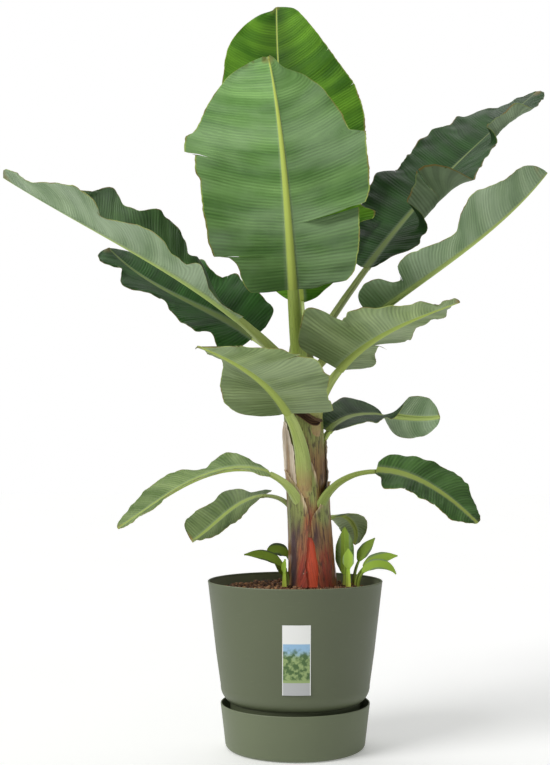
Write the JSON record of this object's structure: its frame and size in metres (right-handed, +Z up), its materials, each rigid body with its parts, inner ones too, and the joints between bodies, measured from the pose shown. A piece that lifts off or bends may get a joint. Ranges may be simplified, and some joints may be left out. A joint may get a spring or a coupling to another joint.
{
  "type": "potted banana plant",
  "caption": "Young banana plant with broad folded leaves on a reddish sheathed stem, rooted in soil in a round green plastic pot with a saucer.",
  "frame": {"origin": "centre of the saucer's flat underside", "axes": "+Z up, +X to the right, -Y towards the front, which the big upright leaf faces"},
  "size_m": [0.9348, 0.536, 1.3174],
  "materials": {
    "planter_plastic": "matt moulded olive green",
    "potting_soil": "moist crumbly soil with fibres",
    "label_film": "plain satin film",
    "stem_sheath": "waxy reddish leaf sheaths with papery brown edges",
    "leaf_stalk": "waxy yellow-green",
    "leaf_blade": "satin green above, paler and matt below",
    "sucker_shoot": "fresh satin green"
  },
  "bodies": {
    "root": {"pot": "planter_plastic", "saucer": "planter_plastic", "soil": "potting_soil", "label": "label_film", "pseudostem": "stem_sheath", "sheath_left": "stem_sheath", "sheath_right": "stem_sheath", "crown_front_stalk": "leaf_stalk", "crown_back_stalk": "leaf_stalk", "right_high_stalk": "leaf_stalk", "right_mid_stalk": "leaf_stalk", "left_high_stalk": "leaf_stalk", "left_mid_stalk": "leaf_stalk", "right_front_stalk": "leaf_stalk", "left_front_stalk": "leaf_stalk", "right_small_stalk": "leaf_stalk", "right_low_stalk": "leaf_stalk", "left_low_stalk": "leaf_stalk", "left_lowest_stalk": "leaf_stalk", "right_lowest_stalk": "leaf_stalk", "sucker_left_long_stalk": "sucker_shoot", "sucker_left_round_stalk": "sucker_shoot", "sucker_left_dark_stalk": "sucker_shoot", "sucker_left_sprout_stalk": "sucker_shoot", "sucker_right_tall_stalk": "sucker_shoot", "sucker_right_shoot_stalk": "sucker_shoot", "sucker_right_pointed_stalk": "sucker_shoot", "sucker_right_arched_stalk": "sucker_shoot", "sucker_right_drooping_stalk": "sucker_shoot", "crown_front_leaf": "leaf_blade", "crown_back_leaf": "leaf_blade", "right_high_leaf": "leaf_blade", "right_mid_leaf": "leaf_blade", "left_high_leaf": "leaf_blade", "left_mid_leaf": "leaf_blade", "right_front_leaf": "leaf_blade", "left_front_leaf": "leaf_blade", "right_small_leaf": "leaf_blade", "right_low_leaf": "leaf_blade", "left_low_leaf": "leaf_blade", "left_lowest_leaf": "leaf_blade", "right_lowest_leaf": "leaf_blade", "sucker_left_long_leaf": "sucker_shoot", "sucker_left_round_leaf": "sucker_shoot", "sucker_left_dark_leaf": "sucker_shoot", "sucker_left_sprout_leaf": "sucker_shoot", "sucker_right_tall_leaf": "sucker_shoot", "sucker_right_shoot_leaf": "sucker_shoot", "sucker_right_pointed_leaf": "sucker_shoot", "sucker_right_arched_leaf": "sucker_shoot", "sucker_right_drooping_leaf": "sucker_shoot"}
  },
  "joints": []
}
